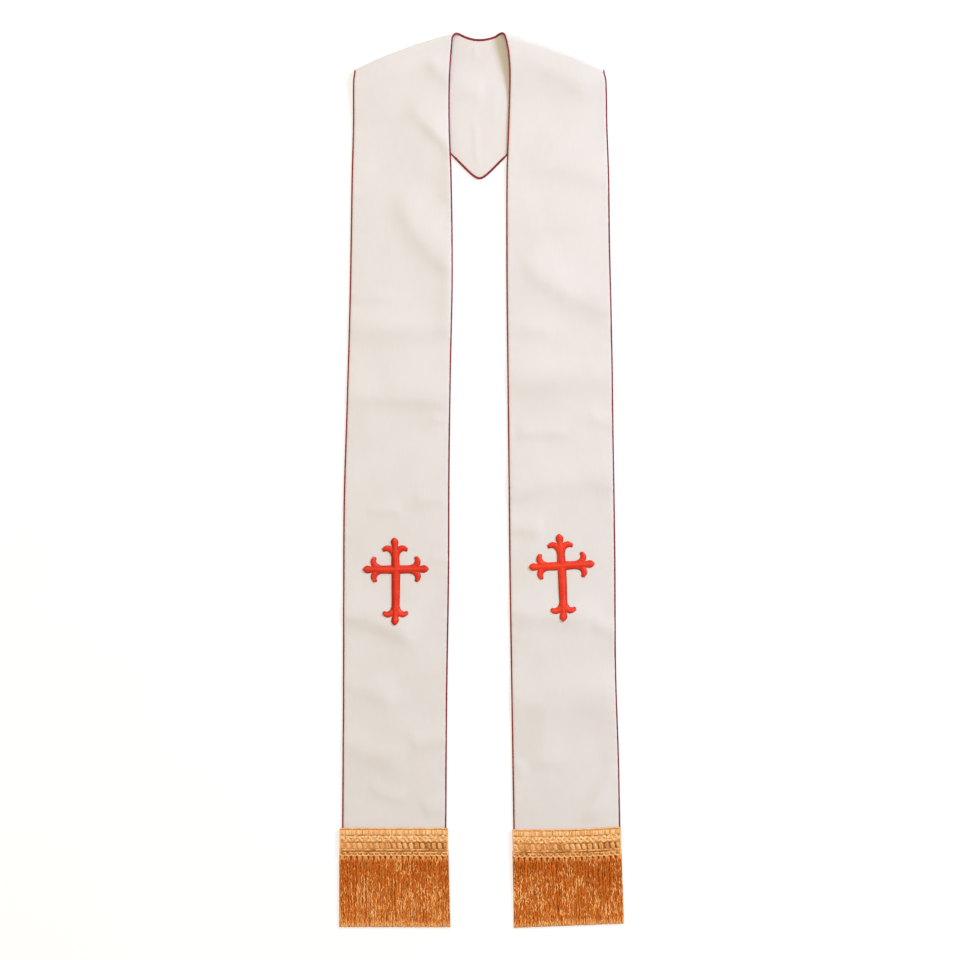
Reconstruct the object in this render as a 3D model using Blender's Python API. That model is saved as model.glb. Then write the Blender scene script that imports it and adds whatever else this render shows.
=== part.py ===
"""A clerical stole, laid flat: two fronts side by side, folded over at the shoulders, with the back
panel tucked under them. The back's neck curve and its pointed outer edge show between the fronts.

Metres, +Z up from the surface that the stole lies on, +Y from the hems to the neck, +X to the right.
The origin is under the middle of the whole stole. Most shapes are worked out in a half plan, where
"a" is the distance from the middle (x = 0), so that left and right come from the same functions.
"""

import math
from dataclasses import dataclass

import bmesh
import bpy
from mathutils import Matrix, Vector

# Cloth, seams and cords
CLOTH = 0.002  # face cloth, interlining and lining together
CLOTH_EDGE = 0.0012  # the same, pressed thin beside the piping
SEAM_GAP = 0.0003  # between pieces that are sewn to each other
PIPING_RADIUS = 0.0012
PIPING_Z = PIPING_RADIUS + 0.0001  # its centre, where it lies on the surface

# The shoulder fold, seen from above: the outermost line of the cloth, from neck to shoulder
FOLD_NECK = Vector((0.0360, 0.6267))
FOLD_SHOULDER = Vector((0.1755, 0.5755))
FOLD_BULGE = 0.0042  # how far the middle of that line stands out from straight
SHOULDER_RADIUS = 0.0032  # of the fold's roll, at the middle of the cloth
NECK_FRONT_OFFSET = 0.0055  # where the front's inner edge meets the fold, along its line
SHOULDER_FRONT_OFFSET = -0.0004  # where its outer edge does, past the shoulder end
SHOULDER_BACK_OFFSET = -0.0045  # and where the back's does
LAYER_RISE = 0.0034  # how high the back and its piping carry the front that lies on them
ROLL_REACH_NECK = 0.100  # how far from the fold the roll takes to lie down
ROLL_REACH_SHOULDER = 0.060
OVER_BACK_FLAT = 0.010  # the front stays on its layer this far past the back's edge
OVER_BACK_FALL = 0.030  # and reaches the surface over this much more

# The back panel
BACK_NECK_Y = 0.6166  # its neck edge at centre back
BACK_POINT_Y = 0.4262  # the tip of its outer edge
BACK_POINT_ROUNDING = 0.008
BACK_EDGE_CURVE = 1.225  # per metre: how much the outer edge flattens towards the shoulder
BACK_EDGE_LEAN = 42.0  # degrees from level, about the middle of that edge

# The rows and columns of the cloth
HEM_Y = -0.5130
FAN_Y = 0.430  # above this the rows across the fronts turn from level to the fold's slope
FAN_TOP_Y = 0.600  # about the middle of the fold; it sets how the levels are shared out
EDGE_COLUMN = 0.03  # the share of the width where the cloth thins to its edge
COLUMNS = (0, EDGE_COLUMN, 0.18, 0.35, 0.5, 0.65, 0.82, 1 - EDGE_COLUMN, 1)
PLAIN_STEP = 0.036  # between rows of the cloth where it lies smooth
CREASE_STEP = 0.010  # and where a crease crosses it
LEAST_STEP = 0.2  # of a plain step, before the row where the fan begins
FAN_ROWS = 11
FOLD_ROWS = 7
BACK_ROWS = 12

# The cross
CROSS_THICK = 0.0008
CROSS_CROWN = 0.0006  # how much higher its padded middle stands
CROSS_BEVEL = 0.0012
CROSS_TOP_ARM = 0.0450
CROSS_SIDE_ARM = 0.0470
CROSS_BOTTOM_ARM = 0.0780
CROSS_BAR_HALF = 0.0056
CURVE_STEPS = 3  # straight pieces to each curve of the cross's outline

# The braid over each hem, and the fringe below it
BRAID_WIDTH = 0.1523
BRAID_ABOVE_HEM = 0.0285
BRAID_BELOW_HEM = 0.0148
BRAID_Z = PIPING_Z + PIPING_RADIUS + SEAM_GAP
SCALLOPS = 19
SCALLOP_DEPTH = 0.0045
SCALLOP_ARC = (0.0, 0.8, 1.0, 0.8)  # depth at each quarter of a scallop
FRINGE_WIDTH = 0.1537
STRIP_WIDTH = 0.0070
STRIP_BOTTOM = 0.0005
STRIP_TOP = 0.0021
LOCKS = 56
LOCK_SHARE = 0.80  # of the pitch; the rest is the space between locks
LOCK_SEGMENTS = 3
LOCK_TAPER = 0.86  # of a lock's width, left at its tip
TIP_BOTTOM = 0.0004
TIP_TOP = 0.0013
SWAY = 0.0009
SWAY_LENGTH = 0.050
SWAY_LEAD = 0.3  # of a wave, that the tips' sway runs ahead of the roots'


@dataclass(frozen=True)
class Lay:
    """How one half of the stole lies."""

    name: str
    side: int  # -1 to the left, +1 to the right
    inner: tuple  # rows of (y, a) for the front's inner edge
    outer: tuple  # and for its outer edge
    creases: tuple  # rows of (start a, start y, end a, end y, height, half width)
    neck_radius: float  # of the fold's roll at the neck
    neck_back_offset: float  # where the back's neck edge meets the fold, along its line
    hem_turn: float  # degrees anticlockwise
    hem_a: float  # the middle of the braid and the fringe
    fringe_spread: float  # the fringe's width at its tips, over its width at its heading
    fringe_drift: float  # how far its tips lie to the right of its heading
    fringe_length: float
    fringe_slant: float  # how much longer its left end is than its right
    cross_at: tuple  # (a, y) of the crossing of its bars
    cross_turn: float  # degrees anticlockwise


LEFT = Lay(
    name="left",
    side=-1,
    inner=(
        (-0.480, 0.0487),
        (-0.305, 0.0475),
        (-0.130, 0.0448),
        (0.010, 0.0442),
        (0.150, 0.0424),
        (0.290, 0.0397),
        (0.430, 0.0413),
        (0.500, 0.0439),
        (0.570, 0.0433),
    ),
    outer=(
        (-0.480, 0.1898),
        (-0.305, 0.1887),
        (-0.165, 0.1884),
        (-0.025, 0.1876),
        (0.115, 0.1833),
        (0.255, 0.1794),
        (0.430, 0.1764),
        (0.500, 0.1746),
    ),
    creases=(
        (0.108, 0.392, 0.056, 0.318, 0.0022, 0.018),
        (0.172, 0.132, 0.058, 0.126, 0.0016, 0.016),
        (0.176, -0.204, 0.098, -0.232, 0.0018, 0.015),
    ),
    neck_radius=0.0045,
    neck_back_offset=-0.0084,
    hem_turn=0.0,
    hem_a=0.1197,
    fringe_spread=1.020,
    fringe_drift=0.0014,
    fringe_length=0.1108,
    fringe_slant=0.0,
    cross_at=(0.1176, -0.1228),
    cross_turn=0.6,
)
RIGHT = Lay(
    name="right",
    side=1,
    inner=(
        (-0.480, 0.0498),
        (-0.305, 0.0471),
        (-0.130, 0.0444),
        (0.010, 0.0430),
        (0.150, 0.0415),
        (0.290, 0.0401),
        (0.430, 0.0402),
        (0.500, 0.0421),
        (0.570, 0.0438),
    ),
    outer=(
        (-0.480, 0.1948),
        (-0.375, 0.1925),
        (-0.270, 0.1890),
        (-0.095, 0.1878),
        (0.045, 0.1856),
        (0.185, 0.1837),
        (0.325, 0.1806),
        (0.430, 0.1791),
        (0.500, 0.1763),
    ),
    creases=(
        (0.062, 0.316, 0.168, 0.256, 0.0022, 0.018),
        (0.060, 0.150, 0.166, 0.156, 0.0016, 0.016),
        (0.060, -0.012, 0.170, 0.026, 0.0020, 0.016),
        (0.070, -0.286, 0.170, -0.268, 0.0018, 0.015),
    ),
    neck_radius=0.0065,
    neck_back_offset=-0.0100,
    hem_turn=1.3,
    hem_a=0.1224,
    fringe_spread=1.012,
    fringe_drift=0.0004,
    fringe_length=0.1088,
    fringe_slant=0.0026,
    cross_at=(0.1147, -0.1176),
    cross_turn=3.1,
)

# The braid's face from its top edge to its scalloped one: (share of its depth, height over its base)
BRAID_RIBS = (
    (0.00, 0.0008),
    (0.07, 0.0014),
    (0.15, 0.0010),
    (0.30, 0.0024),
    (0.48, 0.0010),
    (0.57, 0.0019),
    (0.67, 0.0010),
    (0.75, 0.0018),
    (0.84, 0.0011),
    (1.00, 0.0008),
)

# Half of one arm's flowered end, tip to bar, as cubic curves: (along, across) in millimetres on a
# top arm. Each row is a curve's start and its two handles; the next row's start is its end.
ARM_END = (
    ((45.0, 0.0), (44.4, 2.4), (41.6, 5.0)),
    ((38.2, 5.0), (35.6, 5.0), (33.4, 4.2)),
    ((31.8, 4.6), (33.0, 6.2), (34.6, 9.2)),
    ((33.4, 12.6), (32.6, 15.6), (30.4, 17.8)),
    ((27.6, 17.8), (25.2, 17.6), (24.2, 15.8)),
    ((25.6, 13.4), (26.4, 9.6), (22.6, 5.7)),
    ((16.0, 5.6), None, None),
)

COLOURS = {  # linear base colour and roughness
    "cloth": ((0.80, 0.74, 0.69), 0.75),
    "cross": ((0.70, 0.045, 0.022), 0.55),
    "piping": ((0.30, 0.035, 0.035), 0.60),
    "braid": ((0.70, 0.36, 0.15), 0.50),
    "fringe": ((0.55, 0.20, 0.05), 0.60),
}


# ---- small helpers -------------------------------------------------------------------------------


def mix(start, end, share):
    return start + (end - start) * share


def ease(share):
    """0 to 1 with level ends, and held there outside them."""
    share = min(max(share, 0.0), 1.0)
    return share * share * (3 - 2 * share)


def read(rows, at):
    """A smooth curve through rows of (position, value), carried on straight past both ends."""
    count = len(rows)
    slopes = []
    for i in range(count):
        before, after = rows[max(i - 1, 0)], rows[min(i + 1, count - 1)]
        slopes.append((after[1] - before[1]) / (after[0] - before[0]))
    if at <= rows[0][0]:
        return rows[0][1] + slopes[0] * (at - rows[0][0])
    if at >= rows[-1][0]:
        return rows[-1][1] + slopes[-1] * (at - rows[-1][0])
    i = max(k for k in range(count - 1) if rows[k][0] <= at)
    (x0, y0), (x1, y1) = rows[i], rows[i + 1]
    span = x1 - x0
    s = (at - x0) / span
    return (
        y0 * (1 - s) ** 2 * (1 + 2 * s)
        + slopes[i] * span * s * (1 - s) ** 2
        + y1 * s * s * (3 - 2 * s)
        - slopes[i + 1] * span * s * s * (1 - s)
    )


# ---- the lie of the cloth ------------------------------------------------------------------------

FOLD_RUN = FOLD_SHOULDER - FOLD_NECK
FOLD_LENGTH = FOLD_RUN.length
FOLD_ALONG = FOLD_RUN / FOLD_LENGTH
FOLD_OUT = Vector((-FOLD_ALONG.y, FOLD_ALONG.x))


def roll_radius(lay, along):
    share = min(max(along / FOLD_LENGTH, 0.0), 1.0)
    return mix(lay.neck_radius, SHOULDER_RADIUS, share)


def fold_axis(lay, along):
    """The middle of the fold's roll in plan, this far along the fold from the neck."""
    share = along / FOLD_LENGTH
    out = 4 * FOLD_BULGE * share * (1 - share) - roll_radius(lay, along) - CLOTH / 2
    return FOLD_NECK + FOLD_ALONG * along + FOLD_OUT * out


def fold_ends(lay, turn):
    """Where the cloth's inner and outer edges are along the fold, at a turn of 0 to 1 round its roll."""
    return (
        mix(NECK_FRONT_OFFSET, lay.neck_back_offset, turn),
        FOLD_LENGTH + mix(SHOULDER_FRONT_OFFSET, SHOULDER_BACK_OFFSET, turn),
    )


def fold_point(lay, turn, across):
    """(place, normal) on the roll. Turn 0 is the front's side of it, on top, and 1 is the back's."""
    along = mix(*fold_ends(lay, turn), across)
    radius = roll_radius(lay, along)
    angle = math.pi * turn
    plan = fold_axis(lay, along) + FOLD_OUT * radius * math.sin(angle)
    height = CLOTH / 2 + radius * (1 + math.cos(angle))
    normal = Vector((*(FOLD_OUT * math.sin(angle)), math.cos(angle)))
    return Vector((*plan, height)), normal


def back_edge_y(lay, a):
    """The back's outer edge: from the fold, down to a rounded point at the middle."""
    end = fold_point(lay, 1, 1)[0]
    rise = math.hypot(end.x, BACK_POINT_ROUNDING) - BACK_POINT_ROUNDING
    slope = (end.y - BACK_POINT_Y + BACK_EDGE_CURVE * end.x**2) / rise
    reach = math.hypot(a, BACK_POINT_ROUNDING) - BACK_POINT_ROUNDING
    return BACK_POINT_Y + slope * reach - BACK_EDGE_CURVE * a * a


def back_neck_y(lay, a):
    """The back's neck edge: a shallow curve up to the fold."""
    end = fold_point(lay, 1, 0)[0]
    return BACK_NECK_Y + (end.y - BACK_NECK_Y) * (a / end.x) ** 2


def crease_height(lay, a, y):
    """Soft ridges that fade along their length and to each side."""
    height = 0.0
    for start_a, start_y, end_a, end_y, rise, half_width in lay.creases:
        start, run = Vector((start_a, start_y)), Vector((end_a - start_a, end_y - start_y))
        place = Vector((a, y)) - start
        along = place.dot(run) / run.length_squared
        off = abs(place.cross(run)) / run.length
        if 0 < along < 1 and off < half_width:
            height += rise * math.sin(math.pi * along) * (1 - (off / half_width) ** 2) ** 2
    return height


def front_height(lay, a, y):
    """The middle of the front's cloth: down from the fold's roll, over the back, then flat."""
    place = Vector((a, y))
    along = (place - FOLD_NECK).dot(FOLD_ALONG)
    radius = roll_radius(lay, along)
    reach = mix(ROLL_REACH_NECK, ROLL_REACH_SHOULDER, min(max(along / FOLD_LENGTH, 0.0), 1.0))
    down = (fold_axis(lay, along) - place).dot(FOLD_OUT)
    past_back = (back_edge_y(lay, a) - y) * math.cos(math.radians(BACK_EDGE_LEAN))
    over_back = 1 - ease((past_back - OVER_BACK_FLAT) / OVER_BACK_FALL)
    roll = 1 - ease(down / reach)
    lift = LAYER_RISE * over_back + (2 * radius - LAYER_RISE) * roll
    return CLOTH / 2 + lift + crease_height(lay, a, y)


def edge_rows(lay, which):
    """The (y, a) rows of a front edge, with its end at the fold added."""
    rows = lay.inner if which == 0 else lay.outer
    end = fold_point(lay, 0, which)[0]
    return rows + ((end.y, end.x),)


def hem_end_y(lay, which):
    """The height of the hem at the inner (0) or outer (1) edge."""
    a = read(edge_rows(lay, which), HEM_Y)
    turn = math.radians(lay.hem_turn) * lay.side
    return HEM_Y + (a - lay.hem_a) * math.tan(turn)


FAN_LEVEL = (FAN_Y - HEM_Y) / (FAN_TOP_Y - HEM_Y)


def front_row(lay, level, across):
    """The cloth's middle on the front. Level runs from 0 at the hem to 1 at the fold's roll, and has
    the value FAN_LEVEL where the rows begin to fan."""
    ends = []
    for which in (0, 1):
        rows = edge_rows(lay, which)
        if level <= FAN_LEVEL:
            y = mix(hem_end_y(lay, which), FAN_Y, level / FAN_LEVEL)
        else:
            y = mix(FAN_Y, rows[-1][0], (level - FAN_LEVEL) / (1 - FAN_LEVEL))
        ends.append(Vector((read(rows, y), y)))
    plan = mix(*ends, across)
    if level > FAN_LEVEL:
        share = (level - FAN_LEVEL) / (1 - FAN_LEVEL)
        starts = [fold_point(lay, 0, which)[0].xy for which in (0, 1)]
        bow = fold_point(lay, 0, across)[0].xy - mix(*starts, across)
        plan += bow * share**2
    return Vector((*plan, front_height(lay, plan.x, plan.y)))


def back_row(lay, share, across):
    """The cloth's middle on the back, from 0 at the fold's roll to 1 at the seam at centre back."""
    inner_end, outer_end = (fold_point(lay, 1, which)[0] for which in (0, 1))
    inner_a = mix(inner_end.x, SEAM_GAP / 2, share)
    outer_a = mix(outer_end.x, SEAM_GAP / 2, share)
    inner = Vector((inner_a, back_neck_y(lay, inner_a)))
    outer = Vector((outer_a, back_edge_y(lay, outer_a)))
    bow = fold_point(lay, 1, across)[0].xy - mix(inner_end.xy, outer_end.xy, across)
    plan = mix(inner, outer, across) + bow * (1 - share) ** 2
    return Vector((*plan, CLOTH / 2))


def stations(lay, plain_step, crease_step):
    """Every row along one half, hem to centre back, as (function of across giving place, normal)."""
    levels = [0.0]
    span = FAN_Y - HEM_Y
    while levels[-1] < FAN_LEVEL:
        y = HEM_Y + span * levels[-1] / FAN_LEVEL
        creased = any(
            min(row[1], row[3]) - row[5] < y + crease_step / 2 < max(row[1], row[3]) + row[5]
            for row in lay.creases
        )
        step = crease_step if creased else plain_step
        levels.append(levels[-1] + step / span * FAN_LEVEL)
    levels[-1] = FAN_LEVEL
    if levels[-1] - levels[-2] < LEAST_STEP * plain_step / span * FAN_LEVEL:
        del levels[-2]
    levels += [mix(FAN_LEVEL, 1, (i + 1) / FAN_ROWS) for i in range(FAN_ROWS - 1)]
    up, down = Vector((0, 0, 1)), Vector((0, 0, -1))
    rows = [lambda across, at=level: (front_row(lay, at, across), up) for level in levels]
    for i in range(FOLD_ROWS + 1):
        rows.append(lambda across, at=i / FOLD_ROWS: fold_point(lay, at, across))
    for i in range(1, BACK_ROWS + 1):
        share = 1 - (1 - i / BACK_ROWS) ** 2
        rows.append(lambda across, at=share: (back_row(lay, at, across), down))
    return rows


# ---- objects -------------------------------------------------------------------------------------


def material(name):
    found = bpy.data.materials.get(name)
    if found:
        return found
    made = bpy.data.materials.new(name)
    made.use_nodes = True
    shader = made.node_tree.nodes["Principled BSDF"]
    colour, roughness = COLOURS[name]
    shader.inputs["Base Color"].default_value = (*colour, 1)
    shader.inputs["Roughness"].default_value = roughness
    shader.inputs["Metallic"].default_value = 0.0
    return made


def add_object(name, data, material_name, parent):
    data.materials.append(material(material_name))
    made = bpy.data.objects.new(name, data)
    bpy.context.collection.objects.link(made)
    made.parent = parent
    return made


def finish_mesh(shape, name, sharp_angle):
    """The bmesh as a mesh with its faces out, smooth but for edges sharper than the angle."""
    bmesh.ops.recalc_face_normals(shape, faces=shape.faces)
    mesh = bpy.data.meshes.new(name)
    shape.to_mesh(mesh)
    shape.free()
    mesh.shade_smooth()
    mesh.set_sharp_from_angle(angle=math.radians(sharp_angle))
    return mesh


def mirrored(lay, place):
    """A place in the half plan, (a, y, z), as one in the stole's own frame."""
    return Vector((place.x * lay.side, place.y, place.z))


def build_band(lay, parent):
    """One half of the stole, hem to centre back: a front, its shoulder fold and half of the back."""
    shape = bmesh.new()
    face_rows, lining_rows = [], []
    for row in stations(lay, PLAIN_STEP, CREASE_STEP):
        faces, linings = [], []
        for column in COLUMNS:
            place, normal = row(column)
            thick = CLOTH_EDGE if column in (0, 1) else CLOTH
            faces.append(shape.verts.new(mirrored(lay, place + normal * thick / 2)))
            linings.append(shape.verts.new(mirrored(lay, place - normal * thick / 2)))
        face_rows.append(faces)
        lining_rows.append(linings)
    for grid in (face_rows, lining_rows):
        for low, high in zip(grid, grid[1:]):
            for i in range(len(COLUMNS) - 1):
                shape.faces.new((low[i], low[i + 1], high[i + 1], high[i]))
    for end in (0, -1):  # the hem and the centre back
        face, lining = face_rows[end], lining_rows[end]
        for i in range(len(COLUMNS) - 1):
            shape.faces.new((face[i], face[i + 1], lining[i + 1], lining[i]))
    for side in (0, -1):  # the inner and outer edges
        for k in range(len(face_rows) - 1):
            shape.faces.new(
                (face_rows[k][side], face_rows[k + 1][side], lining_rows[k + 1][side], lining_rows[k][side])
            )
    return add_object(f"band_{lay.name}", finish_mesh(shape, "band", 40), "cloth", parent)


def piping_route(lay, which):
    """The piping's centre beside the inner (0) or outer (1) edge, from the hem to centre back."""
    rows = stations(lay, PLAIN_STEP, PLAIN_STEP)
    places = [row(which) for row in rows]
    away = PIPING_RADIUS + SEAM_GAP
    route = []
    for i, (place, normal) in enumerate(places):
        before, after = places[max(i - 1, 0)][0], places[min(i + 1, len(places) - 1)][0]
        out = (after - before).cross(normal).normalized() * (1 if which else -1)
        point = place + out * away
        point.z = max(point.z, PIPING_Z)
        route.append(point)
    middle = route[-1]
    middle.x = 0.0
    return route


def build_piping(name, which, parent):
    """One cord for the whole edge, up one front, round the back of the neck and down the other."""
    left, right = (
        [mirrored(lay, place) for place in piping_route(lay, which)] for lay in (LEFT, RIGHT)
    )
    route = left[:-1] + [mix(left[-1], right[-1], 0.5)] + right[-2::-1]
    cord = bpy.data.curves.new(name, "CURVE")
    cord.dimensions = "3D"
    cord.bevel_depth = PIPING_RADIUS
    cord.bevel_resolution = 1
    cord.use_fill_caps = True
    line = cord.splines.new("POLY")
    line.points.add(len(route) - 1)
    for point, place in zip(line.points, route):
        point.co = (*place, 1)
    return add_object(name, cord, "piping", parent)


def bezier(start, first, second, end, share):
    rest = 1 - share
    return (
        start * rest**3
        + first * 3 * share * rest**2
        + second * 3 * share**2 * rest
        + end * share**3
    )


def half_arm(length):
    """Half of an arm's outline, tip to bar, as (along, across), for an arm of this length."""
    longer = Vector((length - CROSS_TOP_ARM, 0))
    points = []
    for (start, first, second), (end, _, _) in zip(ARM_END, ARM_END[1:]):
        curve = [Vector(p) / 1000 + longer for p in (start, first, second, end)]
        points += [bezier(*curve, i / CURVE_STEPS) for i in range(CURVE_STEPS)]
    points.append(Vector(ARM_END[-1][0]) / 1000 + longer)
    return points


def cross_outline():
    """The whole cross as (x, y) about the crossing of its bars, anticlockwise from the top arm's tip."""
    outline = []
    arms = (CROSS_TOP_ARM, CROSS_SIDE_ARM, CROSS_BOTTOM_ARM, CROSS_SIDE_ARM)
    for quarter, length in enumerate(arms):
        half = half_arm(length)
        up = [Vector((p.x, -p.y)) for p in half[:0:-1]]
        corner = Vector((CROSS_BAR_HALF, -CROSS_BAR_HALF))
        turn = Matrix.Rotation(math.radians(90 * (quarter + 1)), 2)
        outline += [turn @ p for p in [corner] + up + half]
    return outline


def build_cross(lay, parent):
    """A padded embroidered cross on the front's face."""
    base = CLOTH + SEAM_GAP
    centre = Vector((lay.cross_at[0] * lay.side, lay.cross_at[1]))
    turn = Matrix.Rotation(math.radians(lay.cross_turn), 2)
    shape = bmesh.new()
    rim = [shape.verts.new((*(centre + turn @ p), base)) for p in cross_outline()]
    under = shape.faces.new(rim)
    raised = bmesh.ops.extrude_face_region(shape, geom=[under], use_keep_orig=True)
    top = [item for item in raised["geom"] if isinstance(item, bmesh.types.BMVert)]
    bmesh.ops.translate(shape, verts=top, vec=(0, 0, CROSS_THICK))
    crown = [item for item in raised["geom"] if isinstance(item, bmesh.types.BMFace)]
    bmesh.ops.recalc_face_normals(shape, faces=shape.faces)
    bmesh.ops.inset_region(shape, faces=crown, thickness=CROSS_BEVEL, depth=CROSS_CROWN)
    return add_object(f"cross_{lay.name}", finish_mesh(shape, "cross", 35), "cross", parent)


def hem_place(lay, u, v, z):
    """A point of the braid or fringe: u across from its middle, v up from the hem, turned with it."""
    turned = Matrix.Rotation(math.radians(lay.hem_turn), 2) @ Vector((u, v))
    return Vector((lay.hem_a * lay.side + turned.x, HEM_Y + turned.y, z))


def build_braid(lay, parent):
    """Gold braid over the hem, with cords along it and a scalloped lower edge."""
    shape = bmesh.new()
    quarters = len(SCALLOP_ARC)
    count = SCALLOPS * quarters
    depth = BRAID_ABOVE_HEM + BRAID_BELOW_HEM - SCALLOP_DEPTH
    grid = []
    for i in range(count + 1):
        u = BRAID_WIDTH * (i / count - 0.5)
        low = SCALLOP_DEPTH * SCALLOP_ARC[i % quarters]
        column = []
        for share, height in BRAID_RIBS:
            v = BRAID_ABOVE_HEM - share * (depth + low)
            column.append(shape.verts.new(hem_place(lay, u, v, BRAID_Z + height)))
        grid.append(column)
    for one, two in zip(grid, grid[1:]):
        for k in range(len(BRAID_RIBS) - 1):
            shape.faces.new((one[k], two[k], two[k + 1], one[k + 1]))
    rim = [column[0] for column in grid] + grid[-1][1:]
    rim += [column[-1] for column in grid[-2::-1]] + grid[0][-2:0:-1]
    feet = [shape.verts.new((v.co.x, v.co.y, BRAID_Z)) for v in rim]
    for i in range(len(rim)):
        after = (i + 1) % len(rim)
        shape.faces.new((rim[i], rim[after], feet[after], feet[i]))
    shape.faces.new(feet)
    return add_object(f"braid_{lay.name}", finish_mesh(shape, "braid", 50), "braid", parent)


def build_fringe(lay, parent):
    """A narrow heading below the hem, with the locks of the fringe drawn out of its lower face."""
    pitch = FRINGE_WIDTH / LOCKS
    space = pitch * (1 - LOCK_SHARE)
    cuts = [-FRINGE_WIDTH / 2]
    for i in range(LOCKS):
        start = -FRINGE_WIDTH / 2 + i * pitch + space / 2
        cuts += [start, start + pitch - space]
    cuts.append(FRINGE_WIDTH / 2)
    shape = bmesh.new()
    near, far = -SEAM_GAP, -SEAM_GAP - STRIP_WIDTH
    corners = ((near, STRIP_TOP), (near, STRIP_BOTTOM), (far, STRIP_BOTTOM), (far, STRIP_TOP))
    rings = [[shape.verts.new(hem_place(lay, u, v, z)) for v, z in corners] for u in cuts]
    roots = []
    for i, (one, two) in enumerate(zip(rings, rings[1:])):
        for k in range(4):
            face = shape.faces.new((one[k], two[k], two[(k + 1) % 4], one[(k + 1) % 4]))
            if k == 2 and i % 2:
                roots.append(face)
    shape.faces.new(rings[0])
    shape.faces.new(rings[-1][::-1])
    bmesh.ops.recalc_face_normals(shape, faces=shape.faces)
    for i, root in enumerate(roots):
        draw_lock(lay, shape, root, -FRINGE_WIDTH / 2 + (i + 0.5) * pitch, pitch)
    return add_object(f"fringe_{lay.name}", finish_mesh(shape, "fringe", 40), "fringe", parent)


def draw_lock(lay, shape, root, u, pitch):
    """One lock, drawn out of its root in segments that sway, narrow and sink towards the tip."""
    face = root
    for segment in range(1, LOCK_SEGMENTS + 1):
        share = segment / LOCK_SEGMENTS
        drawn = bmesh.ops.extrude_discrete_faces(shape, faces=[face])
        face = drawn["faces"][0]
        half = pitch * LOCK_SHARE / 2 * mix(1, LOCK_TAPER, share)
        middle = u * mix(1, lay.fringe_spread, share) + lay.fringe_drift * share
        middle += SWAY * share * math.sin(math.tau * (u / SWAY_LENGTH + SWAY_LEAD * share))
        length = lay.fringe_length - STRIP_WIDTH - lay.fringe_slant * u / FRINGE_WIDTH
        v = -SEAM_GAP - STRIP_WIDTH - share * length
        low, high = mix(STRIP_BOTTOM, TIP_BOTTOM, share), mix(STRIP_TOP, TIP_TOP, share)
        centre = face.calc_center_median()
        for vert in face.verts:
            right = (vert.co - centre).x > 0
            above = vert.co.z > centre.z
            vert.co = hem_place(lay, middle + (half if right else -half), v, high if above else low)


def main():
    for old in list(bpy.data.objects):
        bpy.data.objects.remove(old, do_unlink=True)
    stole = bpy.data.objects.new("stole", None)
    bpy.context.collection.objects.link(stole)
    for lay in (LEFT, RIGHT):
        build_band(lay, stole)
        build_cross(lay, stole)
        build_braid(lay, stole)
        build_fringe(lay, stole)
    build_piping("piping_inner", 0, stole)
    build_piping("piping_outer", 1, stole)


main()
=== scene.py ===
"""The looks of a clerical stole that lies flat: cloth with its creases, piping, satin-stitched crosses,
gimp braid and thread fringes, on a pale floor under soft light, seen from straight above.

Metres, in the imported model's frame: +Z up, +Y from the hems to the neck, +X to the right. As in that
model, one half is worked out in a half plan, where "a" is the distance from the middle (x = 0).
"""

import math
import random
from dataclasses import dataclass

import bmesh
import bpy
import numpy as np
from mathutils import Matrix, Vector


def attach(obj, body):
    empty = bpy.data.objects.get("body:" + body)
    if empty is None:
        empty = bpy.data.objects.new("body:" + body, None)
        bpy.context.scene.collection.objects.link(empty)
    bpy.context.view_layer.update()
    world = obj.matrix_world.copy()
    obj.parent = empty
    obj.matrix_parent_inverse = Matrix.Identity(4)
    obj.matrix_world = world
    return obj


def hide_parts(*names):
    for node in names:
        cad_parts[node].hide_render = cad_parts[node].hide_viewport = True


SEED = 7

# Cloth, seams and cords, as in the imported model
CLOTH = 0.0020
CLOTH_EDGE = 0.0012
EDGE_ROUND = 0.0030  # how far from its edge the cloth takes to reach its full thickness
EDGE_OUT = 0.0004  # how far the look's cloth is carried out, to meet its piping
SEAM_GAP = 0.0003
PIPING_RADIUS = 0.0012
ABOVE_FLOOR = 0.0001  # how far cords and threads stay above the surface
PIPING_Z = PIPING_RADIUS + ABOVE_FLOOR
PIPING_LOOK = 0.00115  # the look's piping, which is pressed a little into the seam
PIPING_SUNK = 0.0001  # how far it goes into the edge of the cloth
BACK_PIPING = 0.40  # how much thicker it looks round the back, where all of it shows
CENTRE_SEAM_HALF = 0.0060  # the pressed line at centre back: its half width and depth
CENTRE_SEAM_DEPTH = 0.00007

# The shoulder fold and the layers
FOLD_NECK = np.array((0.0360, 0.6267))
FOLD_SHOULDER = np.array((0.1755, 0.5755))
FOLD_BULGE = 0.0042
SHOULDER_RADIUS = 0.0032
NECK_FRONT_OFFSET = 0.0055
SHOULDER_FRONT_OFFSET = -0.0018
SHOULDER_BACK_OFFSET = -0.0045
LAYER_RISE = 0.0027  # how much higher a front lies over the back, pressed a little flat
ROLL_REACH_NECK = 0.100
ROLL_REACH_SHOULDER = 0.060
CREASE_END = 0.22  # the share of a crease's length over which each end fades
OVER_BACK_FLAT = 0.004
OVER_BACK_FALL = 0.085

# The cloth's soft unevenness
WAVES = ((0.00028, 0.110, 11), (0.00014, 0.045, 23))  # each one's height, length and seed
PUCKERS = (0.0004, 0.016, 37)  # the same of the puckers beside the seams
PUCKER_REACH = 0.006  # how far from an edge they reach
SEAM_HOLD = 0.012  # and how far its seam holds the cloth flatter
CREASE_AT_EDGE = 0.8  # the share of its height that a crease keeps at an edge
BRAID_HOLD = 0.028  # how far above the braid the cloth takes to come loose
FOLD_HOLD = 0.03  # the share of the front, below the fold, that its roll holds
BACK_WAVES = (0.00015, 0.050, 51)
BACK_HOLD = (0.15, 0.06)  # the shares of the back's length and width that are held

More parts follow.
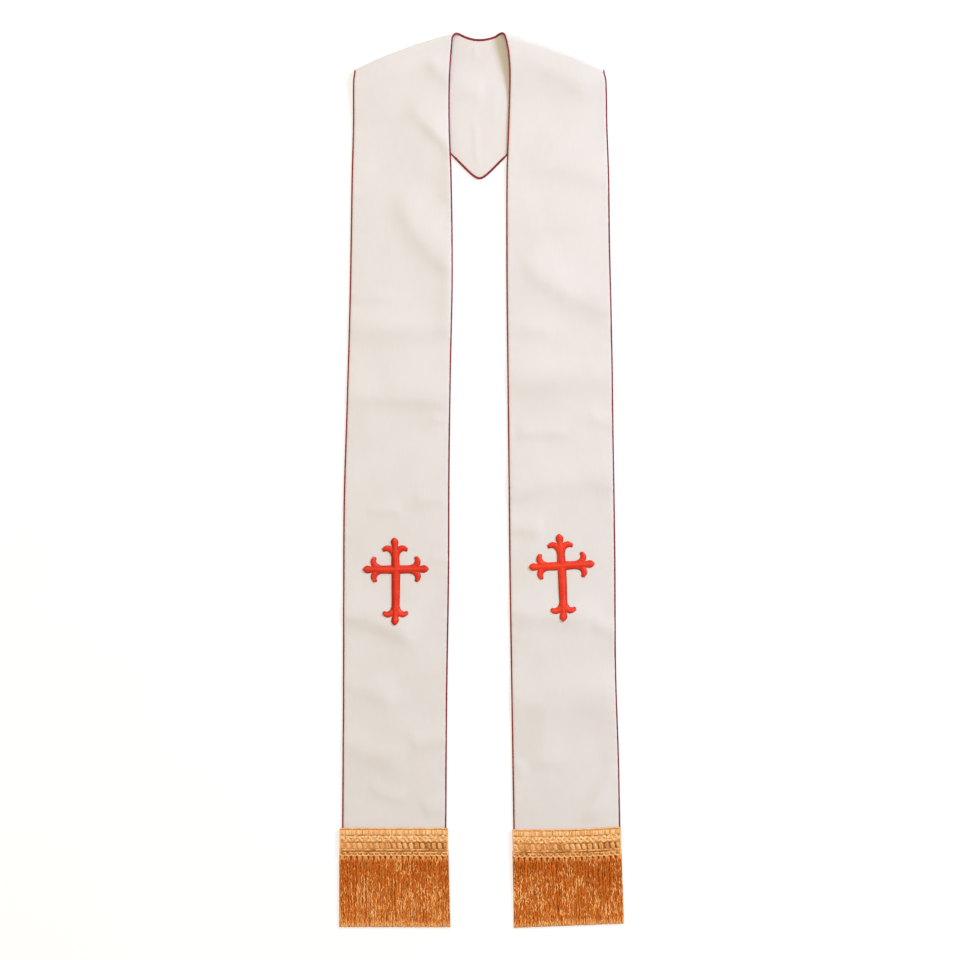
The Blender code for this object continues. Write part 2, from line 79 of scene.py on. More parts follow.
# The back panel
BACK_NECK_Y = 0.6166
BACK_POINT_Y = 0.4262
BACK_POINT_ROUNDING = 0.008
BACK_EDGE_CURVE = 1.225
BACK_EDGE_LEAN = 42.0

# The rows and columns of the cloth
HEM_Y = -0.5130
FAN_Y = 0.430
FAN_TOP_Y = 0.600
FRONT_ROWS = 380
FAN_ROWS = 62
FOLD_ROWS = 14
BACK_ROWS = 54
COLUMNS = 58
COLUMN_CROWDING = 0.78  # how much closer the columns stand at the edges: 0 is evenly

# The cross
CROSS_TOP_ARM = 0.0450
CROSS_SIDE_ARM = 0.0463
CROSS_BOTTOM_ARM = 0.0780
CROSS_ARMS = (CROSS_TOP_ARM, CROSS_SIDE_ARM, CROSS_BOTTOM_ARM, CROSS_SIDE_ARM)  # anticlockwise
CROSS_BAR_HALF = 0.0060
CROSS_LIFT = 0.0006  # how far the tips of its side arms have crept upwards
CROSS_BOW = 0.0014  # and its middle sideways, about this height and within this reach
CROSS_BOW_Y = -0.012
CROSS_BOW_REACH = 0.053

# The braid and the fringe
BRAID_WIDTH = 0.1523
BRAID_ABOVE_HEM = 0.0285
BRAID_Z = PIPING_Z + PIPING_RADIUS + SEAM_GAP
SCALLOPS = 19
PITCH = BRAID_WIDTH / SCALLOPS
FRINGE_WIDTH = 0.1537


@dataclass(frozen=True)
class Lay:
    """How one half of the stole lies. Its rows are in millimetres. Creases are in the whole plan and
    not the half: start x, start y, end x, end y, how far its middle bows to the left of its run,
    height, the width of the short slope on the right of its run, and of the long one on the left."""

    name: str
    side: int
    inner: tuple  # the front's two edges, as (y, a)
    outer: tuple
    creases: tuple
    neck_radius: float  # of the fold's roll at the neck
    neck_back_offset: float
    hem_a: float
    fringe_spread: float  # how much wider it is at its cut ends
    fringe_drift: float  # and how far they lie to the right
    fringe_length: float
    cross_at: tuple
    cross_turn: float
    cross_painted_shade: tuple  # painted shade: the side of its upright where the satin is painted darker, and where that starts
    cross_painted_sheen: float = 0.0  # painted sheen: how much lighter its thread is painted
    hem_turn: float = 0.0
    fringe_slant: float = 0.0  # how much longer it is on its left
    # painted shade: tint added to its threads, below 0 to paint them darker
    fringe_painted_shade: float = 0.0
    braid_sag: float = 0.0


LEFT = Lay(
    name="left",
    side=-1,
    inner=(
        (-480, 48.7), (-305, 47.5), (-130, 44.8), (10, 44.2), (150, 42.4), (290, 39.7), (430, 41.3),
        (500, 43.9), (570, 43.3),
    ),
    outer=(
        (-480, 189.8), (-305, 188.7), (-165, 188.4), (-25, 187.6), (115, 183.3), (255, 179.4),
        (430, 176.4), (500, 174.6), (560, 174.2),
    ),
    creases=(
        (-104, 533, -18, 446, 0, 2.1, 11, 34), (-80, 509, -16, 444, 0, 1.9, 12, 22),
        (-75, 596, -29, 554, -3, 1.6, 10, 14), (-160, 586, -40, 584, 0, 1.1, 22, 16),
        (-116, 412, -14, 284, -16, 3.0, 17, 32), (-42, 474, -42, 380, 0, 1.8, 12, 4),
        (-42, 330, -42, 190, 0, 2.3, 14, 4), (-184, 260, -112, 258, 0, 0.5, 8, 11),
        (-210, 221, -14, 224, -8, 2.2, 18, 18), (-216, 120, -12, 111, 5, 2.8, 15, 36),
        (-72, 89, -42, 84, 0, 0.7, 7, 9), (-94, -26, -44, -24, 0, 1.1, 9, 13),
        (-160, -40, -104, -40, 0, 1.1, 8, 11), (-74, -107, -32, -112, 0, 0.6, 6, 8),
        (-214, -183, -84, -224, 10, 3.7, 15, 30), (-208, -279, -112, -308, 5, 2.0, 16, 24),
        (-210, -357, -104, -398, 0, 2.1, 16, 20), (-116, -286, -112, -396, 0, 1.1, 28, 22),
        (-104, -368, -22, -354, 0, 2.2, 14, 18), (-156, -418, -98, -440, -9, 1.2, 10, 14),
        (-84, -462, -26, -446, 0, 1.6, 12, 14),
    ),
    neck_radius=0.0045,
    neck_back_offset=-0.0084,
    hem_a=0.1197,
    fringe_spread=1.020,
    fringe_drift=0.0014,
    fringe_length=0.1108,
    cross_at=(0.1176, -0.1228),
    cross_turn=0.6,
    cross_painted_shade=(-1, 0.15),
)
RIGHT = Lay(
    name="right",
    side=1,
    inner=(
        (-480, 49.8), (-305, 47.1), (-130, 44.4), (10, 43.0), (150, 41.5), (290, 40.1), (430, 40.2),
        (465, 41.3), (500, 42.6), (570, 44.3), (600, 42.2),
    ),
    outer=(
        (-480, 194.8), (-375, 192.5), (-270, 189.0), (-95, 187.8), (45, 185.6), (185, 183.7),
        (325, 180.6), (430, 179.1), (500, 176.6), (560, 175.2),
    ),
    creases=(
        (58, 606, 160, 541, 0, 1.2, 15, 22), (54, 450, 208, 417, 3, 1.4, 15, 32),
        (179, 520, 181, 456, 0, 0.8, 10, 4), (52, 326, 212, 240, -19, 3.3, 19, 34),
        (28, 218, 108, 212, 0, 1.3, 13, 14), (-14, 148, 240, 153, -3, 3.3, 24, 28),
        (48, 68, 128, 70, 0, 1.6, 9, 14), (148, 91, 206, 78, 0, 1.0, 9, 12),
        (-8, -23, 226, 15, 4, 3.8, 20, 34), (186, 8, 188, -62, 0, 1.2, 14, 4),
        (28, -60, 92, -70, 0, 1.7, 10, 18), (14, -177, 178, -186, -5, 2.6, 16, 24),
        (154, -194, 208, -217, 0, 1.6, 11, 12), (14, -312, 218, -292, 5, 3.5, 28, 30),
        (92, -298, 92, -412, 0, 1.7, 22, 28), (194, -300, 194, -404, 0, 1.4, 28, 4),
        (198, -384, 136, -500, 0, 2.8, 11, 15), (48, -387, 66, -416, 0, 0.8, 8, 8),
    ),
    neck_radius=0.0070,
    neck_back_offset=-0.0100,
    hem_turn=1.3,
    hem_a=0.1224,
    fringe_spread=1.012,
    fringe_drift=0.0004,
    fringe_length=0.1088,
    fringe_slant=0.0026,
    # painted shade: the right fringe's threads are painted darker
    fringe_painted_shade=-0.06,
    braid_sag=0.0017,
    cross_at=(0.1147, -0.1176),
    cross_turn=3.1,
    cross_painted_shade=(1, 0.45),
    # painted sheen: the right cross's thread is painted lighter
    cross_painted_sheen=0.22,
)

# Creases of the back panel, as in Lay
BACK_CREASES = (
    (-6, 612, -5, 590, 0, 0.7, 5, 5), (-56, 552, 10, 543, 0, 1.6, 12, 22),
    (-3, 432, -7, 512, 0, 0.6, 6, 4), (22, 560, 20, 500, 0, 0.4, 8, 8),
)

# Half of one arm's flowered end, tip to bar, as cubic curves: (along, across) in millimetres
ARM_END = (
    ((45.1, 0.0), (44.0, 2.1), (42.0, 5.1)),
    ((38.4, 5.4), (35.8, 5.4), (33.6, 4.2)),
    ((31.8, 4.6), (33.0, 6.2), (34.6, 9.2)),
    ((33.4, 12.6), (32.6, 15.6), (30.4, 17.8)),
    ((27.6, 17.8), (25.2, 17.6), (24.2, 15.8)),
    ((25.6, 13.4), (26.4, 9.6), (22.6, 5.7)),
    ((16.0, 5.6), None, None),
)


# ---- small helpers ----


def mix(start, end, share):
    return start + (end - start) * share


def ease(share):
    share = np.clip(share, 0.0, 1.0)
    return share * share * (3 - 2 * share)


def read(rows, at):
    """A smooth curve through rows of (position, value), carried on straight past both ends."""
    x, y = np.array(rows, float).T
    count = len(x)
    before, after = np.arange(-1, count - 1).clip(0), np.arange(1, count + 1).clip(0, count - 1)
    slopes = (y[after] - y[before]) / (x[after] - x[before])
    at = np.asarray(at, float)
    i = np.clip(np.searchsorted(x, at, side="right") - 1, 0, count - 2)
    span = x[i + 1] - x[i]
    s = np.clip((at - x[i]) / span, 0, 1)
    inside = (
        y[i] * (1 - s) ** 2 * (1 + 2 * s)
        + slopes[i] * span * s * (1 - s) ** 2
        + y[i + 1] * s * s * (3 - 2 * s)
        - slopes[i + 1] * span * s * s * (1 - s)
    )
    return inside + slopes[0] * np.minimum(at - x[0], 0) + slopes[-1] * np.maximum(at - x[-1], 0)


def ripple(a, y, length, seed):
    """A smooth uneven wave over the plan, about 0 to 2, with features of about this length."""
    draw = np.random.default_rng(seed)
    total = 0.0
    for angle in draw.uniform(0, math.tau, 5):
        pitch = length * draw.uniform(0.7, 1.5)
        phase = draw.uniform(0, math.tau)
        total = total + np.sin(math.tau * (a * math.cos(angle) + y * math.sin(angle)) / pitch + phase)
    return 1 + total / 3


def turned(degrees):
    """A turn in plan, anticlockwise, as a matrix."""
    angle = math.radians(degrees)
    return np.array(((math.cos(angle), -math.sin(angle)), (math.sin(angle), math.cos(angle))))


def unit(vectors):
    return vectors / np.maximum(np.linalg.norm(vectors, axis=-1, keepdims=True), 1e-12)


def raised(plan, height):
    """Points of the plan at this height, or at each one's own."""
    return np.concatenate((plan, np.broadcast_to(height, plan.shape[:-1])[..., None]), axis=-1)


def travel(path):
    """How far along the path each of its points is."""
    steps = np.linalg.norm(np.diff(path, axis=0), axis=1)
    return np.concatenate(((0.0,), np.cumsum(steps)))


def quads(index):
    """The faces of a grid of point numbers."""
    low, high = index[:-1], index[1:]
    return np.stack((low[:, :-1], low[:, 1:], high[:, 1:], high[:, :-1]), axis=-1).reshape(-1, 4)


def joined(one, other):
    """The faces between two lines of point numbers."""
    return quads(np.stack((one, other)))


def tube(rings):
    """The faces of a closed tube, from a ring of point numbers for each row."""
    around = quads(np.concatenate((rings, rings[:, :1]), axis=1)).tolist()
    return around + [rings[0, ::-1].tolist(), rings[-1].tolist()]


def add_object(name, data, place=(0, 0, 0)):
    made = bpy.data.objects.new(name, data)
    made.location = place
    bpy.context.scene.collection.objects.link(made)
    return made


# ---- the lie of the cloth ----

FOLD_RUN = FOLD_SHOULDER - FOLD_NECK
FOLD_LENGTH = float(np.linalg.norm(FOLD_RUN))
FOLD_ALONG = FOLD_RUN / FOLD_LENGTH
FOLD_OUT = np.array((-FOLD_ALONG[1], FOLD_ALONG[0]))
FAN_LEVEL = (FAN_Y - HEM_Y) / (FAN_TOP_Y - HEM_Y)


def roll_radius(lay, along):
    return mix(lay.neck_radius, SHOULDER_RADIUS, np.clip(along / FOLD_LENGTH, 0, 1))


def fold_axis(lay, along):
    """The middle of the fold's roll in plan, this far along the fold from the neck."""
    share = along / FOLD_LENGTH
    out = 4 * FOLD_BULGE * share * (1 - share) - roll_radius(lay, along) - CLOTH / 2
    return FOLD_NECK + FOLD_ALONG * along[..., None] + FOLD_OUT * out[..., None]


def fold_point(lay, turn, across):
    """The cloth's middle on the roll. Turn 0 is the front's side of it, on top, and 1 the back's."""
    turn, across = np.broadcast_arrays(np.asarray(turn, float), np.asarray(across, float))
    start = mix(NECK_FRONT_OFFSET, lay.neck_back_offset, turn)
    end = FOLD_LENGTH + mix(SHOULDER_FRONT_OFFSET, SHOULDER_BACK_OFFSET, turn)
    along = mix(start, end, across)
    radius = roll_radius(lay, along)
    angle = math.pi * turn
    plan = fold_axis(lay, along) + FOLD_OUT * (radius * np.sin(angle))[..., None]
    return raised(plan, CLOTH / 2 + radius * (1 + np.cos(angle)))


def back_edge_y(lay, a):
    """The back's outer edge: from the fold, down to a rounded point at the middle."""
    end = fold_point(lay, 1, 1)
    rise = math.hypot(end[0], BACK_POINT_ROUNDING) - BACK_POINT_ROUNDING
    slope = (end[1] - BACK_POINT_Y + BACK_EDGE_CURVE * end[0] ** 2) / rise
    reach = np.hypot(a, BACK_POINT_ROUNDING) - BACK_POINT_ROUNDING
    return BACK_POINT_Y + slope * reach - BACK_EDGE_CURVE * a * a


def back_neck_y(lay, a):
    """The back's neck edge: a shallow curve up to the fold."""
    end = fold_point(lay, 1, 0)
    return BACK_NECK_Y + (end[1] - BACK_NECK_Y) * (a / end[0]) ** 2


def crease_height(rows, x, y):
    """The creases' height over the plan: a short slope on one side of each and a long one on the
    other, fading towards both ends."""
    height = 0.0
    for row in rows:
        start_x, start_y, end_x, end_y, bow, crest, short, long = np.array(row) / 1000
        run_x, run_y = end_x - start_x, end_y - start_y
        length = math.hypot(run_x, run_y)
        along = ((x - start_x) * run_x + (y - start_y) * run_y) / length**2
        off = ((y - start_y) * run_x - (x - start_x) * run_y) / length
        off = off - 4 * bow * along * (1 - along)
        ends = ease(along / CREASE_END) * ease((1 - along) / CREASE_END)
        height = height + crest * ends * np.exp(-((off / np.where(off < 0, short, long)) ** 2))
    return height


def relief(lay, x, y):
    """How far the front's cloth rises off its flat lie: creases, a soft unevenness, and puckers
    along the stitched edges, all held flat under the braid."""
    a = np.abs(x)
    inner, outer = (read(edge_rows(lay, which), y) for which in (0, 1))
    from_edge = np.minimum(a - inner, outer - a).clip(0)
    loose = 1 - np.exp(-from_edge / SEAM_HOLD)
    height = crease_height(lay.creases, x, y) * mix(CREASE_AT_EDGE, 1.0, loose)
    for high, length, seed in WAVES:
        height += high * ripple(a, y, length, seed + lay.side) * loose
    high, length, seed = PUCKERS
    beside = np.exp(-from_edge / PUCKER_REACH) * (1 - np.exp(-from_edge / PUCKER_REACH * 4))
    height += high * beside * ripple(a * 0.3, y, length, seed + lay.side)
    return height * ease((y - HEM_Y - BRAID_ABOVE_HEM) / BRAID_HOLD)


def front_height(lay, a, y):
    """The middle of the front's cloth: down from the fold's roll, over the back, then flat."""
    place = np.stack((a, y), axis=-1)
    along = (place - FOLD_NECK) @ FOLD_ALONG
    radius = roll_radius(lay, along)
    reach = mix(ROLL_REACH_NECK, ROLL_REACH_SHOULDER, np.clip(along / FOLD_LENGTH, 0, 1))
    down = (fold_axis(lay, along) - place) @ FOLD_OUT
    past_back = (back_edge_y(lay, a) - y) * math.cos(math.radians(BACK_EDGE_LEAN))
    over_back = 1 - ease((past_back - OVER_BACK_FLAT) / OVER_BACK_FALL)
    roll = 1 - ease(down / reach)
    lift = LAYER_RISE * over_back + (2 * radius - LAYER_RISE) * roll
    return CLOTH / 2 + lift


def edge_rows(lay, which):
    """The front's inner (0) or outer (1) edge up to the fold, as rows of (y, a)."""
    end = fold_point(lay, 0, which)
    return (*np.array(lay.outer if which else lay.inner) / 1000, (end[1], end[0]))


def hem_end_y(lay, which):
    a = read(edge_rows(lay, which), HEM_Y)
    return HEM_Y + (a - lay.hem_a) * math.tan(math.radians(lay.hem_turn) * lay.side)


def rows_between(edges, lay, turn, bowed, across):
    """Rows of points in plan from the inner edge to the outer, each bowed by this share of the
    fold's own bow."""
    inner, outer = (np.stack(edge, axis=-1)[:, None] for edge in edges)
    ends = [fold_point(lay, turn, which)[:2] for which in (0, 1)]
    bow = fold_point(lay, turn, across)[:, :2] - mix(*ends, across[:, None])
    return mix(inner, outer, across[:, None]) + bow * bowed[:, None, None]


def front_rows(lay, levels, across):
    """The cloth's middle on the front, for every level (0 at the hem, 1 at the fold) and column."""
    edges = []
    share = (levels - FAN_LEVEL) / (1 - FAN_LEVEL)
    for which in (0, 1):
        rows = edge_rows(lay, which)
        low = mix(hem_end_y(lay, which), FAN_Y, levels / FAN_LEVEL)
        y = np.where(levels <= FAN_LEVEL, low, mix(FAN_Y, rows[-1][0], share))
        edges.append((read(rows, y), y))
    plan = rows_between(edges, lay, 0, np.maximum(share, 0) ** 2, across)
    return raised(plan, front_height(lay, plan[..., 0], plan[..., 1]))


def back_rows(lay, shares, across):
    """The cloth's middle on the back, from 0 at the fold's roll to 1 at the seam at centre back."""
    edges = []
    for which, edge_y in enumerate((back_neck_y, back_edge_y)):
        a = mix(fold_point(lay, 1, which)[0], SEAM_GAP / 2, shares)
        edges.append((a, edge_y(lay, a)))
    return raised(rows_between(edges, lay, 1, (1 - shares) ** 2, across), CLOTH / 2)


def cloth_middle(lay, across):
    """The cloth's middle as a grid of points in the half plan, from the hem to centre back, with all
    its relief. Also the number of rows before the fold."""
    low = np.linspace(0, FAN_LEVEL, FRONT_ROWS, endpoint=False)
    fan = np.linspace(FAN_LEVEL, 1, FAN_ROWS, endpoint=False)
    levels = np.concatenate((low, fan))
    front = front_rows(lay, levels, across)
    below_fold = ease((1 - levels) / FOLD_HOLD)[:, None]
    front[..., 2] += below_fold * relief(lay, lay.side * front[..., 0], front[..., 1])
    fold = fold_point(lay, np.linspace(0, 1, FOLD_ROWS + 1)[:, None], across[None, :])
    shares = 1 - (1 - np.linspace(0, 1, BACK_ROWS + 1)[1:]) ** 2
    back = back_rows(lay, shares, across)
    x, y = lay.side * back[..., 0], back[..., 1]
    high, length, seed = BACK_WAVES
    height = crease_height(BACK_CREASES, x, y) + high * ripple(x, y, length, seed)
    loose = ease(shares / BACK_HOLD[0])[:, None]
    back[..., 2] += loose * (1 - np.exp(-np.minimum(across, 1 - across) / BACK_HOLD[1])) * height
    grid = np.concatenate((front, fold, back))
    outwards = unit(grid[:, -1:] - grid[:, :1])
    return grid + outwards * ((2 * across - 1) * EDGE_OUT)[:, None], len(levels)


def grid_normals(grid):
    """Unit normals of the grid, up on the front."""
    along = np.gradient(grid, axis=0)
    across = np.gradient(grid, axis=1)
    return unit(np.cross(across, along))


# ---- meshes ----


def mesh_object(name, points, faces, values, materials, crisp=math.pi):
    """A smooth object from closed pieces. Point values such as tint are stored as attributes. Edges
    stay crisp where faces meet at more than the angle given."""
    mesh = bpy.data.meshes.new(name)
    mesh.from_pydata(points, [], faces)
    for key, numbers in values.items():
        stored = mesh.attributes.new(key, "FLOAT", "POINT")
        stored.data.foreach_set("value", np.asarray(numbers, np.float32).ravel())
    for item in materials:
        mesh.materials.append(item)
    mesh.shade_smooth()
    shape = bmesh.new()
    shape.from_mesh(mesh)
    bmesh.ops.recalc_face_normals(shape, faces=shape.faces)
    for edge in shape.edges:
        edge.smooth = edge.calc_face_angle(0) < crisp
    shape.to_mesh(mesh)
    shape.free()
    return add_object(name, mesh)


class Yarns:
    """Tubes gathered into one mesh. Each point keeps its tint and how far along its yarn it is."""

    def __init__(self):
        self.points, self.faces, self.tints, self.along = [], [], [], []
        self.count = 0

    def add(self, path, radius, sides, tint, squash=1.0, turn=0.0, plied=None):
        """A closed tube on the path. Squash is its height over its width. A plied yarn has two
        lobes: plied is the length in which they wind round it once, and how deep they are."""
        path = np.asarray(path, float)
        count = len(path)
        ahead = unit(np.gradient(path, axis=0))
        right = unit(np.cross(ahead, (0.0, 0.0, 1.0)))
        over = np.cross(right, ahead)
        along = travel(path)
        radius = np.broadcast_to(radius, (count,))[:, None]
        angle = turn + math.tau * np.arange(sides) / sides
        angles = np.broadcast_to(angle, (count, sides))
        if plied:
            pitch, depth = plied
            wind = angles - math.tau * along[:, None] / pitch
            radius = radius * (1 - depth + depth * np.abs(np.cos(wind)) * 2)
        sideways = (radius * np.cos(angles))[..., None] * right[:, None]
        upwards = (radius * squash * np.sin(angles))[..., None] * over[:, None]
        self.points.append((path[:, None] + sideways + upwards).reshape(-1, 3))
        self.faces += tube(self.count + np.arange(count * sides).reshape(count, sides))
        self.tints.append(np.repeat(np.broadcast_to(np.clip(tint, 0, 1), (count,)), sides))
        self.along.append(np.repeat(along, sides))
        self.count += count * sides

    def build(self, name, material):
        values = {"tint": np.concatenate(self.tints), "along": np.concatenate(self.along)}
        return mesh_object(name, np.concatenate(self.points), self.faces, values, [material])


# ---- materials ----


class Nodes:
    """Short calls that add nodes to a material or the world and link them."""

    def __init__(self, owner, shader):
        owner.use_nodes = True
        self.tree = owner.node_tree
        self.shader = self.tree.nodes[shader]

    def node(self, kind, inputs, output, **settings):
        """Adds a node, with inputs that are values or other nodes' outputs. Returns one output."""
        made = self.tree.nodes.new("ShaderNode" + kind)
        for key, value in settings.items():
            setattr(made, key, value)
        for key, given in inputs.items():
            if isinstance(given, bpy.types.NodeSocket):
                self.tree.links.new(given, made.inputs[key])
            else:
                made.inputs[key].default_value = given
        return made.outputs[output]

    def ramp(self, factor, *stops):
        """A colour ramp with stops of (place, linear colour)."""
        colour = self.node("ValToRGB", {"Fac": factor}, "Color")
        elements = colour.node.color_ramp.elements
        while len(elements) < len(stops):
            elements.new(0.5)
        for element, (place, shade) in zip(elements, stops):
            element.position = place
            element.color = (*shade, 1)
        return colour

    def feed(self, source, name):
        self.tree.links.new(source, self.shader.inputs[name])


class Recipe(Nodes):
    """A material being built."""

    def __init__(self, name, roughness, specular, gleam=(1, 1, 1), **settings):
        self.material = bpy.data.materials.new(name)
        super().__init__(self.material, "Principled BSDF")
        settings |= {"Roughness": roughness, "Specular_IOR_Level": specular}
        settings |= {"Specular_Tint": (*gleam, 1)}
        for key, value in settings.items():
            self.shader.inputs[key.replace("_", " ")].default_value = value

    def value(self, name):
        """A point value of the mesh."""
        return self.node("Attribute", {}, "Fac", attribute_name=name)

    def spot(self, scale=(1, 1, 1)):
        """The place on the object in metres, stretched."""
        return self.stretch(self.node("TexCoord", {}, "Object"), scale)

    def stretch(self, place, scale, turn=0.0):
        inputs = {"Vector": place, "Scale": scale, "Rotation": (0, 0, turn)}
        return self.node("Mapping", inputs, "Vector")

    def noise(self, place, scale, detail=2.0):
        return self.node("TexNoise", {"Vector": place, "Scale": scale, "Detail": detail}, "Fac")

    def wave(self, place, pitch, direction):
        """Soft parallel ridges, one for each pitch in metres, from 0 to 1."""
        inputs = {"Vector": place, "Scale": math.tau / 20 / pitch}
        return self.node("TexWave", inputs, "Fac", bands_direction=direction, wave_profile="SIN")

    def maths(self, operation, first, second):
        return self.node("Math", {0: first, 1: second}, "Value", operation=operation)

    def bump(self, height, distance, strength):
        inputs = {"Height": height, "Distance": distance, "Strength": strength}
        self.feed(self.node("Bump", inputs, "Normal"), "Normal")

    def colour(self, factor, *stops):
        """The colour ramp of the whole material, which is then finished."""
        self.feed(self.ramp(factor, *stops), "Base Color")
        return self.material


def cloth_material(name, light, shade, thread):
    """Plain woven cloth: two crossing sets of threads, slubs and a faint unevenness of colour."""
    recipe = Recipe(name, 0.82, 0.25, Sheen_Weight=0.12, Sheen_Roughness=0.5)
    grain = recipe.node("UVMap", {}, "UV", uv_map="grain")
    warp, weft = (recipe.wave(grain, thread, way) for way in "XY")
    slub = recipe.noise(recipe.stretch(grain, (1, 0.04, 1)), 1900.0, 3.0)
    weave = recipe.maths("ADD", recipe.maths("MAXIMUM", warp, weft), slub)
    recipe.bump(weave, 0.00005, 0.5)
    cloudy = recipe.noise(recipe.spot(), 14.0, 4.0)
    fine = recipe.noise(recipe.stretch(grain, (1, 0.05, 1)), 700.0)
    cloudy, fine = recipe.maths("MULTIPLY", cloudy, 0.7), recipe.maths("MULTIPLY", fine, 0.3)
    tone = recipe.maths("ADD", cloudy, fine)
    return recipe.colour(tone, (0.3, shade), (0.7, light))


def piping_material():
    """Wine-red bias satin drawn tight over a cord."""
    recipe = Recipe("piping", 0.5, 0.25, Sheen_Weight=0.06, Sheen_Roughness=0.4)
    place = recipe.spot()
    bias = recipe.stretch(place, (1, 1, 1), turn=math.radians(45))
    recipe.bump(recipe.wave(bias, 0.0005, "X"), 0.00004, 0.5)
    shade, light = (0.169, 0.008, 0.0129), (0.274, 0.016, 0.0234)
    return recipe.colour(recipe.noise(place, 260.0, 3.0), (0.3, shade), (0.7, light))


def thread_material(name, colours, gleam, roughness, ply, glints):
    """Twisted lustrous thread, coloured by each yarn's own tint, dark to light. Glints are painted
    highlights:
    small lighter and darker patches in the tone, given as their scale, how far they are drawn out along
    the thread, and their strength."""
    recipe = Recipe(name, roughness, 0.5, gleam)
    scale, drawn_out, strength = glints
    painted_glints = recipe.noise(recipe.spot((1, 1 / drawn_out, 1)), scale)
    uneven = recipe.maths("MULTIPLY", recipe.maths("SUBTRACT", painted_glints, 0.5), strength)
    tone = recipe.maths("ADD", recipe.value("tint"), uneven)
    twist = recipe.maths("MULTIPLY", recipe.value("along"), math.tau / ply)
    recipe.bump(recipe.maths("SINE", twist, 0.0), 0.00005, 0.6)
    return recipe.colour(tone, *zip((0.0, 0.5, 1.0), colours))


# ---- the two halves of cloth ----


def build_band(lay, cloth, lining):
    """One half of the stole, hem to centre back, as a closed shell with its creases."""
    even = np.linspace(0, 1, COLUMNS + 1)
    across = even - COLUMN_CROWDING * np.sin(math.tau * even) / math.tau
    middle, front = cloth_middle(lay, across)
    rows, columns = middle.shape[:2]
    width = np.linalg.norm(middle[:, -1] - middle[:, 0], axis=-1)[:, None]
    from_edge = np.minimum(across, 1 - across) * width
    # The first rows past the fold's roll lead into the back
    on_back = ease((np.arange(rows)[:, None] - front - FOLD_ROWS) / 6.0)
    seam = np.exp(-((middle[..., 0] / CENTRE_SEAM_HALF) ** 2))
    rounding = 1 - np.exp(-from_edge / (EDGE_ROUND / 2.5))
    wall = grid_normals(middle) * (mix(CLOTH_EDGE, CLOTH, rounding) / 2)[..., None]
    face, under = middle + wall, middle - wall
    # The lining side of the back faces up; its centre seam is pressed into a small valley
    under[..., 2] -= (seam * on_back) * CENTRE_SEAM_DEPTH
    for side in (face, under):
        side[-1, :, 0] = 0.0
        side[..., 2] = np.maximum(side[..., 2], 0.0)
        side[..., 0] *= lay.side
    points = np.concatenate((face.reshape(-1, 3), under.reshape(-1, 3)))
    total = rows * columns
    index = np.arange(total).reshape(rows, columns)
    sheet = quads(index)
    rims = [joined(line, line + total) for line in (index[0], index[-1], index[:, 0], index[:, -1])]
    faces = np.concatenate((sheet, sheet + total, *rims)).tolist()
    name, crisp = f"band_{lay.name}_cloth", math.radians(50)
    made = mesh_object(name, points, faces, {}, [cloth, lining], crisp)
    mesh = made.data
    # The weave runs with the cloth: its own width and length, as a layer of UVs in metres
    grain = np.meshgrid(across * width.mean(), travel(middle[:, columns // 2]))
    grain = np.tile(np.stack(grain, axis=-1).reshape(-1, 2), (2, 1))
    layer = mesh.uv_layers.new(name="grain")
    loops = np.empty(len(mesh.loops), np.int32)
    mesh.loops.foreach_get("vertex_index", loops)
    layer.data.foreach_set("uv", grain[loops].astype(np.float32).ravel())
    slots = np.zeros(len(faces), np.int32)
    slots[len(sheet) : 2 * len(sheet)] = 1
    mesh.polygons.foreach_set("material_index", slots)
    return made


# ---- piping ----


def piping_route(lay, which):
    """The piping's middle beside the inner (0) or outer (1) edge, from the hem to centre back."""
    grid, _ = cloth_middle(lay, np.linspace(0, 1, 21))
    line, normal = grid[:, -which], grid_normals(grid)[:, -which]
    along = unit(np.gradient(line, axis=0))
    out = unit(np.cross(along, normal)) * (2 * which - 1)
    route = line + out * (PIPING_LOOK - PIPING_SUNK)
    route[:, 2] = np.maximum(route[:, 2], PIPING_Z)
    route[-1, 0] = 0.0
    route[:, 0] *= lay.side
    return route


def spaced(path, step):
    """The path read again at even steps."""
    lengths = travel(path)
    at = np.linspace(0, lengths[-1], max(2, round(lengths[-1] / step) + 1))
    return np.stack([np.interp(at, lengths, path[:, k]) for k in range(3)], axis=-1)


def build_piping(name, which, material):
    left, right = (piping_route(lay, which) for lay in (LEFT, RIGHT))
    middle = (left[-1] + right[-1]) / 2
    path = spaced(np.concatenate((left[:-1], [middle], right[-2::-1])), 0.0020)
    count = np.arange(len(path))
    swell = 1 + 0.03 * np.sin(count * 1.7) + 0.02 * np.sin(count * 0.61)
    # All of it shows on the back, between the fronts
    shows = ease((0.039 - np.abs(path[:, 0])) / 0.008) * (path[:, 1] > 0.40)
    radius = PIPING_LOOK * (swell + BACK_PIPING * shows)
    path[:, 2] = np.maximum(path[:, 2], radius + ABOVE_FLOOR)
    yarns = Yarns()
    yarns.add(path, radius, 10, 0.5)
    return yarns.build(name, material)


# ---- the cross ----

CROSS_BASE = CLOTH + SEAM_GAP
UNDERLAY = 0.0004
STITCH = 0.00042  # from one stitch of satin thread to the next
ACROSS = np.linspace(-1, 1, 11)  # the points of each stitch, from side to side of its padding
STITCH_RIDGE = 0.00006  # how far it stands above the padding, and its grooves lie below


def bezier(start, first, second, end, share):
    rest = 1 - share
    return start * rest**3 + first * 3 * share * rest**2 + second * 3 * share**2 * rest + end * share**3


def arm_outline(length):
    """Half of an arm's outline from its tip to its bar, as (along, across)."""
    points = []
    longer = np.array((length - CROSS_TOP_ARM, 0.0))
    for (start, first, second), (end, _, _) in zip(ARM_END, ARM_END[1:]):
        curve = [np.array(p) / 1000 + longer for p in (start, first, second, end)]
        points += [bezier(*curve, i / 8) for i in range(8)]
    points.append(np.array(ARM_END[-1][0]) / 1000 + longer)
    return np.array(points)


def crossed(one, other):
    """The cross product of directions in plan."""
    return one[..., 0] * other[..., 1] - one[..., 1] * other[..., 0]


